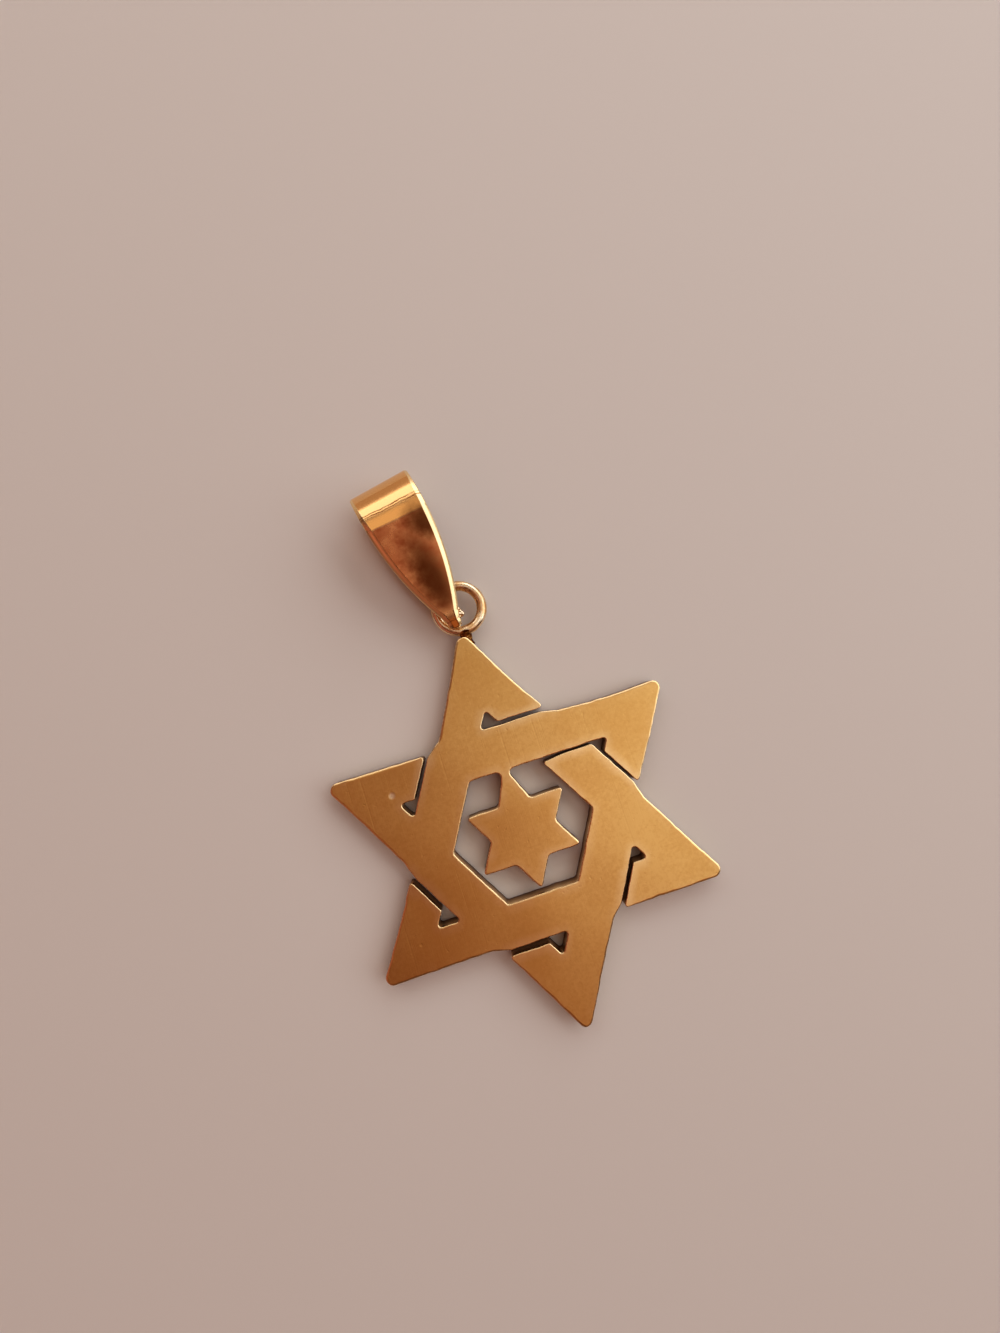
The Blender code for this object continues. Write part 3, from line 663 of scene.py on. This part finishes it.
# %% Carry the ribbon's section along the side view
def section():
    """Half the ribbon's section as pairs of across and depth: the flat face, the bevel with its
    edges just broken, a rounded corner and the side, down to the inner face."""
    tangent_of = math.tan(math.radians(BEVEL_ANGLE))
    across = [0 * half, half * 0.5, half - bevel - 1.1 * BEVEL_CORNER, half - bevel - 0.7 * BEVEL_CORNER]
    depth = [0 * half] * 4
    for share in (0.25, 0.6, 1.0):
        across.append(half - bevel + (share - 0.5) * BEVEL_CORNER)
        depth.append(np.full_like(half, tangent_of * 0.24 * BEVEL_CORNER * (share + share**2)))
    for share in (0.5, 0.85):
        across.append(half - bevel * (1 - share))
        depth.append(bevel * share * tangent_of)
    for angle in np.radians(np.linspace(90 - BEVEL_ANGLE, 0, 6)):
        across.append(half - BEVEL_CORNER * (1 - math.cos(angle)))
        depth.append(bevel * tangent_of + BEVEL_CORNER * (1 - math.sin(angle)))
    return np.array(across), np.array(depth)


across, depth = section()
outer_right = side_outer[None] + into[None] * depth[..., None]
inner_edge = side_inner[None] + 0 * outer_right[:1]
inwards = (side_inner - side_outer) / np.linalg.norm(side_inner - side_outer, axis=1)[:, None]
rim = INNER_RIM * inwards
right_half = np.concatenate([outer_right, inner_edge - rim, inner_edge, inner_edge])
right_across = np.vstack([across, half, half - INNER_RIM, half * 0.5])
bail_across = np.vstack([right_across, -right_across[:0:-1]])
bail_side = np.concatenate([right_half, right_half[:0:-1]])
slants = np.tan(np.radians([0, CREASE_SLANT, LOOP_SLANT]))
slant = np.interp(side_outer[:, 0], [0, CREASE_DISTANCE, BAIL_LENGTH], slants)
bail_along = bail_side[..., 0] - slant * bail_across
turn = math.radians(BAIL_TURN)
bail_x = bail_seat[0] + bail_across * math.cos(turn) - bail_along * math.sin(turn)
bail_y = bail_seat[1] + bail_across * math.sin(turn) + bail_along * math.cos(turn)
bail_grid = np.stack([bail_x, bail_y, bail_side[..., 1]], axis=-1)
bail_quads = ring_quads(*bail_grid.shape[:2], close_rows=True)[:, ::-1]
bail = make_piece("folded_ribbon", bail_grid.reshape(-1, 3), bail_quads, smooth_below=30)
print("bail length:", round((side_outer[:, 0].max() - side_outer[:, 0].min()) / MM, 2), "mm")

# %% [markdown]
# The ribbon was polished before it was bent, so its marks must follow the bend. Object coordinates
# would cut straight through the loop. Instead each point keeps two numbers of its own: how far
# along the strip it is from the soldered end, up the front leaf and round the loop, and how far
# across. Both are in millimetres, and the finish reads them.

# %% Unroll the ribbon for its finish
steps_along = np.linalg.norm(np.diff(side_outer, axis=0), axis=1)
strip = np.concatenate([[0], np.cumsum(steps_along)])
point_values(bail, "from_end", np.tile((strip[tip_row] - strip) / MM, len(bail_across)))
point_values(bail, "strip_across", (bail_across / MM).ravel())
right_bevelled = np.vstack([depth > 0, np.zeros((3, len(half)), bool)])
point_values(bail, "bevelled", np.concatenate([right_bevelled, right_bevelled[:0:-1]]).ravel())
crease_from_end = (strip[tip_row] - strip[row_ends["crown"]]) / MM
print("outer face of the strip:", round((strip[tip_row] + END_ROUNDING) / MM, 1), "mm long")
print("crease at", round(crease_from_end, 2), "mm from the front leaf's end")

# %% [markdown]
# ## Lumps of solder
# Where the bail's ends meet, a little solder ran out over the edge and froze as a jagged lump. It
# could be a cluster of spheres, but they would show as spheres. Here it is one closed skin, a ball
# whose radius is raised by a few crossed waves, which gives it blunt spikes.


# %% Lump of solder on the bail's edge
def lump(centre, reach, spikes, sides=40, rows=24):
    """Closed skin round a centre. In each direction, given by u round and w from pole to pole, the
    radius is 1 plus the sine waves in spikes, each given as times round, times down, phase and height,
    and each axis is then stretched to its own reach."""
    u = np.linspace(0, 2 * math.pi, sides, endpoint=False)[None]
    w = np.linspace(0, math.pi, rows + 2)[1:-1, None]
    radius = 1 + sum(high * np.sin(w) * np.sin(n * u + m * w + phase) for n, m, phase, high in spikes)
    ball = np.stack([np.sin(w) * np.cos(u), np.sin(w) * np.sin(u), np.cos(w) + 0 * u], axis=-1)
    points = (ball * radius[..., None]).reshape(-1, 3)
    points = np.vstack([points, [[0, 0, 1], [0, 0, -1]]]) * reach + centre
    return points, *closed_faces(rows, sides)


def on_bail(across, from_end, height):
    """Point beside the lying bail, turned and moved with it."""
    flat = bail_seat + across * unit(BAIL_TURN) + from_end * unit(90 + BAIL_TURN)
    return np.array([*flat, height])


SPIKES = ((3, 2, 0.4, 0.22), (5, -3, 1.3, 0.16), (2, 5, 2.2, 0.14), (8, 1, 0.3, 0.08))
SPUR_DISTANCE, SPUR_INSET, SPUR_HEIGHT = 0.3 * MM, 0.06 * MM, 1.5 * MM
SPUR_REACH = np.array([0.27, 0.3, 0.23]) * MM
spur_across = half_width(SPUR_DISTANCE, -OVERHANG) - SPUR_INSET
spur_middle = on_bail(spur_across, SPUR_DISTANCE, SPUR_HEIGHT)
spur = make_piece("bail_solder", *lump(spur_middle, SPUR_REACH, SPIKES))

# %% [markdown]
# ## Nodes and colours
# Every finish below is a small graph of nodes. One function adds a node, sets its settings and links
# its inputs, so a graph reads from top to bottom like a recipe. Colours are written as the sRGB hex
# values a picture editor shows, and turned to the linear numbers that light is added up in.


# %% Helpers for the finishes
def linear(hex_colour):
    """sRGB hex to linear: each channel c is ((c + 0.055) / 1.055) to the power 2.4, or c / 12.92
    where c is at most 0.04045."""
    channels = [int(hex_colour[i : i + 2], 16) / 255 for i in (1, 3, 5)]
    return (*[c / 12.92 if c <= 0.04045 else ((c + 0.055) / 1.055) ** 2.4 for c in channels], 1.0)


def connect(graph, node, inputs):
    """Fills a node's inputs: a node is linked by its first output in use, a socket is linked as it
    is, and any other value is set."""
    for name, value in inputs.items():
        if isinstance(value, bpy.types.Node):
            value = next(output for output in value.outputs if output.enabled)
        if isinstance(value, bpy.types.NodeSocket):
            graph.links.new(value, node.inputs[name])
        else:
            node.inputs[name].default_value = value


def add(graph, kind, inputs, **settings):
    """Adds a node with its settings and its inputs."""
    made = graph.nodes.new("ShaderNode" + kind)
    for name, value in settings.items():
        setattr(made, name, value)
    connect(graph, made, inputs)
    return made


def per_mm(size):
    """Noise scale that makes its features this many millimetres across."""
    return 1 / (size * MM)


def new_finish(name):
    """Empty metal finish: its graph and its shader."""
    material = bpy.data.materials.new(name)
    material.use_nodes = True
    shader = material.node_tree.nodes["Principled BSDF"]
    shader.inputs["Metallic"].default_value = 1.0
    return material, material.node_tree, shader


# %% [markdown]
# ## Satin yellow gold
# The sheet is 14 carat yellow gold, filed flat and then rubbed with fine emery. To the eye it is an
# even satin with a slow gradient, faint marks in the direction of rubbing, a few scratches and pits,
# and one small dented spot, which gets a near-white painted highlight. Wear has polished the edges,
# and their pale cream colour is a painted highlight. The sawn walls were never rubbed and are rough;
# their dark brown is partly grime and partly painted shade inside the cuts and holes. The rubbing
# marks are a noise stretched along one direction. Real ones are about 0.02 mm wide; 0.07 mm is
# drawn, because finer ones would vanish in the picture.

# %% Satin finish
DENT = np.array([-7.335, 4.574]) * MM  # in the upper left point
satin_gold, graph, shader = new_finish("yellow_gold_14ct_emery_satin")
place = add(graph, "TexCoord", {}).outputs["Object"]
cloud = add(graph, "TexNoise", {"Vector": place, "Scale": per_mm(5.0), "Detail": 2.0, "Roughness": 0.45})
grain = add(graph, "TexNoise", {"Vector": place, "Scale": per_mm(0.2), "Detail": 3.0, "Roughness": 0.7})
rubbed = {"Vector": place, "Rotation": (0, 0, math.radians(-52)), "Scale": (1, 0.04, 1)}
rubbed = add(graph, "Mapping", rubbed)
marks = add(graph, "TexNoise", {"Vector": rubbed, "Scale": per_mm(0.07), "Detail": 2.0})
skewed = {"Vector": place, "Rotation": (0, 0, math.radians(23)), "Scale": (1, 0.02, 1)}
skewed = add(graph, "Mapping", skewed)
strays = add(graph, "TexNoise", {"Vector": skewed, "Scale": per_mm(0.16), "Detail": 1.0})
scratch = add(graph, "MapRange", {"Value": strays, "From Min": 0.66, "From Max": 0.74})
wear_and_highlight, sawn, along_edge = (
    add(graph, "Attribute", {}, attribute_name=name).outputs["Fac"]
    for name in ("edge_wear_and_highlight", "sawn_wall", "along_edge")
)
mottle = add(graph, "Math", {0: cloud, 1: grain}, operation="MULTIPLY")
mottle = add(graph, "MapRange", {"Value": mottle, "From Min": 0.14, "From Max": 0.36})
# The dented spot: a real hollow in the bump, and a near-white painted highlight in the colour
dent_and_glint = add(graph, "VectorMath", {0: place, 1: (*DENT, SHEET_THICKNESS)}, operation="DISTANCE")
dent_and_glint = add(graph, "MapRange", {"Value": dent_and_glint, "From Min": 0.26 * MM, "From Max": 0.1 * MM})

# Each share lays its own colour over the one before
tone = linear("#E2B674")
# The cream on the edges and the near-white at the dented spot are painted highlights; the dark brown on the
# sawn walls is partly grime, partly painted shade
for share, over in ((mottle, "#ECC584"), (wear_and_highlight, "#FBE2B8"), (dent_and_glint, "#FFF0D0"), (sawn, "#63330F")):
    tone = add(graph, "Mix", {0: share, 6: tone, 7: linear(over)}, data_type="RGBA")
rough = add(graph, "MapRange", {"Value": marks, "To Min": 0.33, "To Max": 0.45})
polish = add(graph, "MapRange", {"Value": wear_and_highlight, "To Min": 0.0, "To Max": 0.13})
roughness = add(graph, "Math", {0: rough, 1: polish}, operation="SUBTRACT")

# Heights are in units of the bump's distance; those below 0 are cut in
strokes = add(graph, "CombineXYZ", {"X": along_edge})
saw_lines = add(graph, "TexNoise", {"Vector": strokes, "Scale": per_mm(0.09), "Detail": 1.0})
saw_lines = add(graph, "Math", {0: saw_lines, 1: sawn}, operation="MULTIPLY")
pits = add(graph, "TexNoise", {"Vector": place, "Scale": per_mm(0.28), "Detail": 1.0})
pits = add(graph, "MapRange", {"Value": pits, "From Min": 0.7, "From Max": 0.78})
relief = add(graph, "Math", {0: marks, 1: 2.2}, operation="MULTIPLY")
for feature, high in ((grain, 1.2), (saw_lines, 6.0), (scratch, -1.5), (dent_and_glint, -9.0), (pits, -4.0)):
    relief = add(graph, "Math", {0: feature, 1: high, 2: relief}, operation="MULTIPLY_ADD")
bump = add(graph, "Bump", {"Height": relief, "Distance": 0.002 * MM, "Strength": 0.6})
connect(graph, shader, {"Base Color": tone, "Roughness": roughness, "Normal": bump})
print("finish:", satin_gold.name, "nodes:", len(graph.nodes))

# %% [markdown]
# ## Polished yellow gold
# The ring is round wire of the same gold, polished on a wheel: sharp reflections, a little dulled by
# smudges, and small nicks from the pliers that bent it. The bead of solder at the bail's end was
# polished with it and has the same finish.

# %% Polished finish of the ring
polished_gold, graph, shader = new_finish("yellow_gold_14ct_worn_polish")
place = add(graph, "TexCoord", {}).outputs["Object"]
smudge = add(graph, "TexNoise", {"Vector": place, "Scale": per_mm(0.8), "Detail": 4.0, "Roughness": 0.6})
dull = add(graph, "MapRange", {"Value": smudge, "From Min": 0.45, "From Max": 0.68})
tone = add(graph, "Mix", {0: dull, 6: linear("#FDEACC"), 7: linear("#EBC28C")}, data_type="RGBA")
rough = add(graph, "MapRange", {"Value": dull, "To Min": 0.24, "To Max": 0.38})
nicks = add(graph, "TexNoise", {"Vector": place, "Scale": per_mm(0.22), "Detail": 2.0})
bump = add(graph, "Bump", {"Height": nicks, "Distance": 0.008 * MM, "Strength": 0.5})
connect(graph, shader, {"Base Color": tone, "Roughness": rough, "Normal": bump})
print("finish:", polished_gold.name, "nodes:", len(graph.nodes))

# %% [markdown]
# ## The bail's own finish
# The bail was polished too, but it has rubbed against chains for years. Its bevels carry a pale
# cream that is a painted highlight, and its loop keeps the plain polished colour. The flat front leaf
# carries a reddish brown, thinner towards its end, that is a painted reflection of the dim, warm
# room, and two places on it are painted dark and made dull, a painted reflection of dark
# surroundings. The dark places are two ovals in the strip's own millimetres, with their edges broken
# up by a noise. Fine scratches run across the strip, two deep ones lie close together on the loop,
# and a dark seam crosses the front leaf's end, where solder closed it.


# %% Painted reflections on the bail: reddish brown and dark places on the front leaf
def oval(graph, where, middle, reach):
    """1 in the middle of an oval and 0 outside, from strip coordinates and the oval's half axes."""
    away = add(graph, "VectorMath", {0: where, 1: (*middle, 0)}, operation="SUBTRACT")
    away = add(graph, "VectorMath", {0: away, 1: (1 / reach[0], 1 / reach[1], 0)}, operation="MULTIPLY")
    away = add(graph, "VectorMath", {0: away}, operation="LENGTH")
    inputs = {"Value": away, "From Min": 1.5, "From Max": 0.2}
    return add(graph, "MapRange", inputs, interpolation_type="SMOOTHSTEP")


ribbon_gold, graph, shader = new_finish("yellow_gold_14ct_polish_with_painted_light")
from_end, sideways, bevelled = (
    add(graph, "Attribute", {}, attribute_name=name).outputs["Fac"]
    for name in ("from_end", "strip_across", "bevelled")
)
strip_place = add(graph, "CombineXYZ", {"X": sideways, "Y": from_end})
ragged = add(graph, "TexNoise", {"Vector": strip_place, "Scale": 1 / 0.9, "Detail": 5.0, "Roughness": 0.62})
shifted = {0: ragged.outputs["Color"], 1: (-0.5, -0.5, -0.5)}
shifted = add(graph, "VectorMath", shifted, operation="ADD")
broken = {0: shifted, 1: (0.8, 1.1, 0), 2: strip_place}
broken = add(graph, "VectorMath", broken, operation="MULTIPLY_ADD")
# Two dark places on the front leaf, a painted reflection of dark surroundings
near_crease = oval(graph, broken, middle=(1.4, crease_from_end - 0.8), reach=(1.15, 1.25))
lower_leaf = oval(graph, broken, middle=(0.12, 3.4), reach=(1.05, 2.9))
dark = add(graph, "Math", {0: near_crease, 1: lower_leaf}, operation="MAXIMUM")
fade = {"Value": from_end, "From Min": 0.5, "From Max": 1.6, "To Min": 0.05, "To Max": 0.85}
dark = add(graph, "Math", {0: dark, 1: add(graph, "MapRange", fade)}, operation="MULTIPLY")

# The painted reddish reflection: on the leaf alone, thin at its end, and nearly gone on the bevels
painted_reflection = {"Value": ragged, "From Min": 0.3, "From Max": 0.7, "To Min": 0.5, "To Max": 0.9}
painted_reflection = add(graph, "MapRange", painted_reflection)
for limits in (
    {"Value": from_end, "From Min": crease_from_end + 0.05, "From Max": crease_from_end - 0.1},
    {"Value": from_end, "From Min": 0.4, "From Max": 1.6, "To Min": 0.15},
    {"Value": bevelled, "To Min": 1.0, "To Max": 0.15},
):
    painted_reflection = add(graph, "Math", {0: painted_reflection, 1: add(graph, "MapRange", limits)}, operation="MULTIPLY")
print("ovals and film:", len(graph.nodes), "nodes")

# %% Scratches, colour and shine of the bail
long_way = add(graph, "Mapping", {"Vector": strip_place, "Scale": (0.06, 1, 1)})
fine = add(graph, "TexNoise", {"Vector": long_way, "Scale": 1 / 0.08, "Detail": 2.0})
deep_at = add(graph, "Math", {0: ragged, 1: 0.35, 2: from_end}, operation="MULTIPLY_ADD")
deep_lines = 0.0
for distance in (crease_from_end + 1.02, crease_from_end + 1.2, 0.6):
    line = add(graph, "Math", {0: deep_at, 1: distance}, operation="SUBTRACT")
    line = add(graph, "Math", {0: line}, operation="ABSOLUTE")
    line = add(graph, "MapRange", {"Value": line, "From Min": 0.05, "From Max": 0.02})
    deep_lines = add(graph, "Math", {0: deep_lines, 1: line}, operation="MAXIMUM")
worn_off = {"Value": fine, "From Min": 0.4, "From Max": 0.6, "To Min": 0.3, "To Max": 1.0}
worn_off = add(graph, "MapRange", worn_off)
deep_lines = add(graph, "Math", {0: deep_lines, 1: worn_off}, operation="MULTIPLY")

# Reddish brown and dark places are painted reflections, and the pale cream on the bevels is a painted
# highlight; the deep lines are real scratches and the seam
tone = linear("#F8CC94")
for share, over in ((painted_reflection, "#AA5C3A"), (dark, "#603618"), (bevelled, "#FBE2B4"), (deep_lines, "#8A5526")):
    tone = add(graph, "Mix", {0: share, 6: tone, 7: linear(over)}, data_type="RGBA")
roughness = 0.17
for feature, more in ((dark, 0.14), (painted_reflection, 0.16), (bevelled, 0.1)):
    roughness = add(graph, "Math", {0: feature, 1: more, 2: roughness}, operation="MULTIPLY_ADD")
relief = add(graph, "Math", {0: deep_lines, 1: -4.0, 2: fine}, operation="MULTIPLY_ADD")
bump = add(graph, "Bump", {"Height": relief, "Distance": 0.0015 * MM, "Strength": 0.5})
connect(graph, shader, {"Base Color": tone, "Roughness": roughness, "Normal": bump})
print("finish:", ribbon_gold.name, "nodes:", len(graph.nodes))

# %% [markdown]
# ## Fired solder
# Gold solder is a little redder than the sheet, and the flame leaves it brown where nobody polished
# it: rough, blotchy, with a few bright grains.

# %% Solder finish
fired_solder, graph, shader = new_finish("gold_solder_fired")
place = add(graph, "TexCoord", {}).outputs["Object"]
blotch = add(graph, "TexNoise", {"Vector": place, "Scale": per_mm(0.25), "Detail": 3.0})
bare = add(graph, "MapRange", {"Value": blotch, "From Min": 0.5, "From Max": 0.66})
tone = add(graph, "Mix", {0: bare, 6: linear("#6E3E1C"), 7: linear("#E8B870")}, data_type="RGBA")
rough = add(graph, "MapRange", {"Value": bare, "To Min": 0.5, "To Max": 0.22})
bump = add(graph, "Bump", {"Height": blotch, "Distance": 0.03 * MM, "Strength": 0.5})
connect(graph, shader, {"Base Color": tone, "Roughness": rough, "Normal": bump})
print("finish:", fired_solder.name, "nodes:", len(graph.nodes))

# %% [markdown]
# ## Pieces in the frame
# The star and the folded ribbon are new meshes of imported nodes, so each one replaces its node. The
# ring and the two lumps of solder belong to the same solids and ride along on the one body.

# %% Give each piece its finish and its place in the frame
for piece, finish, slot in (
    (star, satin_gold, "gold_satin"),
    (ring, polished_gold, "gold_polished"),
    (solder, fired_solder, "gold_polished"),
    (bail, ribbon_gold, "gold_polished"),
    (spur, polished_gold, "gold_polished"),
):
    piece.data.materials.append(finish)
    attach(piece, "root")
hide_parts("star_with_ring")
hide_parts("ribbon_bail")
print("pieces on the one body:", [piece.name for piece in (star, ring, solder, bail, spur)])

# %% [markdown]
# ## Floor, light and camera
# The pendant lies on a plain pale surface. A satin metal shows the room as a soft gradient and a
# polished one as sharp stripes, so the lights matter as much as the finish. Each lamp stands where
# one surface mirrors it to the camera. Two high ones light the satin star. Three on the far side
# draw the stripes across the bail's loop, and a broad low one lights the bevels and rims on the
# right. Five weak warm ones stand for the room: they colour the nose, the ring, the front leaf and
# the bevels on the left.

# %% Floor
floor_finish = bpy.data.materials.new("matt_pale_board")
floor_finish.use_nodes = True
floor_shader = floor_finish.node_tree.nodes["Principled BSDF"]
floor_shader.inputs["Base Color"].default_value = linear("#E4E0DC")
floor_shader.inputs["Roughness"].default_value = 0.75
FLOOR_REACH, FLOOR_DROP = 0.6, 0.02 * MM
floor_corners = np.array([[-1, -1, 0], [1, -1, 0], [1, 1, 0], [-1, 1, 0]]) * FLOOR_REACH
floor = make_piece("floor", floor_corners - [0, 0, FLOOR_DROP], np.array([[0, 1, 2, 3]]))
floor.data.materials.append(floor_finish)

# %% Camera, where the photograph was taken from
camera_place = Vector((0.2169, 8.0557, 36.1660)) * MM
camera_aim = Vector((1.6580, 10.2989, 0)) * MM
picture_up = Vector((0.30859, 0.95120, 0))
forward = (camera_aim - camera_place).normalized()
right = forward.cross(picture_up).normalized()
up = right.cross(forward)
camera_data = bpy.data.cameras.new("camera")
camera_data.sensor_fit = "HORIZONTAL"
camera_data.sensor_width = 36
camera_data.lens = 19.8
camera_data.clip_start = 1 * MM
camera_data.clip_end = 10
camera = bpy.data.objects.new("camera", camera_data)
camera.matrix_world = Matrix.Translation(camera_place) @ Matrix((right, up, -forward)).transposed().to_4x4()
bpy.context.scene.collection.objects.link(camera)
bpy.context.scene.camera = camera
print("camera", round(camera_place.length / MM, 1), "mm from the star's centre")

# %% Lights
LIGHT_DISTANCE = 0.45
PICTURE_UP_ANGLE = 72.026  # of the picture's up, counter-clockwise from +X
LAMPS = (
    # name, bearing, elevation, width, height, radiance, colour
    ("high_right", 102, 66, 0.32, 0.26, 0.7, "#FFFFFF"),
    ("overhead", 0, 84, 0.2, 0.2, 0.44, "#FFFFFF"),
    ("far_window", -30, 35, 0.36, 0.16, 0.98, "#FFFFFF"),
    ("far_glow", -30, 59, 0.3, 0.16, 0.55, "#FFE8C8"),
    ("far_low", -30, 14, 1.1, 0.24, 0.32, "#FFE4CC"),
    ("low_window", 52, 33, 1.0, 0.34, 1.2, "#FFFFFF"),
    ("near_low", 150, 38, 0.36, 0.24, 0.26, "#FFB478"),
    ("warm_room_left", 265, 62, 0.2, 0.2, 0.2, "#FF9A60"),
    ("low_red_left", 255, 32, 0.34, 0.24, 0.28, "#FFA892"),
    ("low_red_near", 215, 28, 0.34, 0.24, 0.24, "#FFA892"),
    ("warm_room_near", 178, 70, 0.2, 0.26, 0.19, "#FF9C66"),
)


def soft_light(name, bearing, elevation, width, height, radiance, colour):
    """Rectangular lamp that faces the star. Its bearing is clockwise from the picture's up, and its
    power is radiance times pi times its area."""
    angle = math.radians(PICTURE_UP_ANGLE - bearing)
    rise = math.radians(elevation)
    towards = Vector((math.cos(angle) * math.cos(rise), math.sin(angle) * math.cos(rise), math.sin(rise)))
    data = bpy.data.lights.new(name, "AREA")
    data.shape = "RECTANGLE"
    data.size, data.size_y = width, height
    data.color = linear(colour)[:3]
    data.energy = radiance * math.pi * width * height
    lamp = bpy.data.objects.new(name, data)
    lamp.location = towards * LIGHT_DISTANCE
    lamp.rotation_euler = towards.to_track_quat("Z", "Y").to_euler()
    bpy.context.scene.collection.objects.link(lamp)
    return data.energy


powers = [soft_light(*row) for row in LAMPS]
print(len(powers), "lamps of", round(sum(powers), 3), "W in all")
world = bpy.data.worlds.new("dim_warm_room")
world.use_nodes = True
world.node_tree.nodes["Background"].inputs["Color"].default_value = linear("#C09080")
world.node_tree.nodes["Background"].inputs["Strength"].default_value = 0.1
bpy.context.scene.world = world
bpy.context.scene.view_settings.view_transform = "Standard"
bpy.context.scene.view_settings.look = "High Contrast"
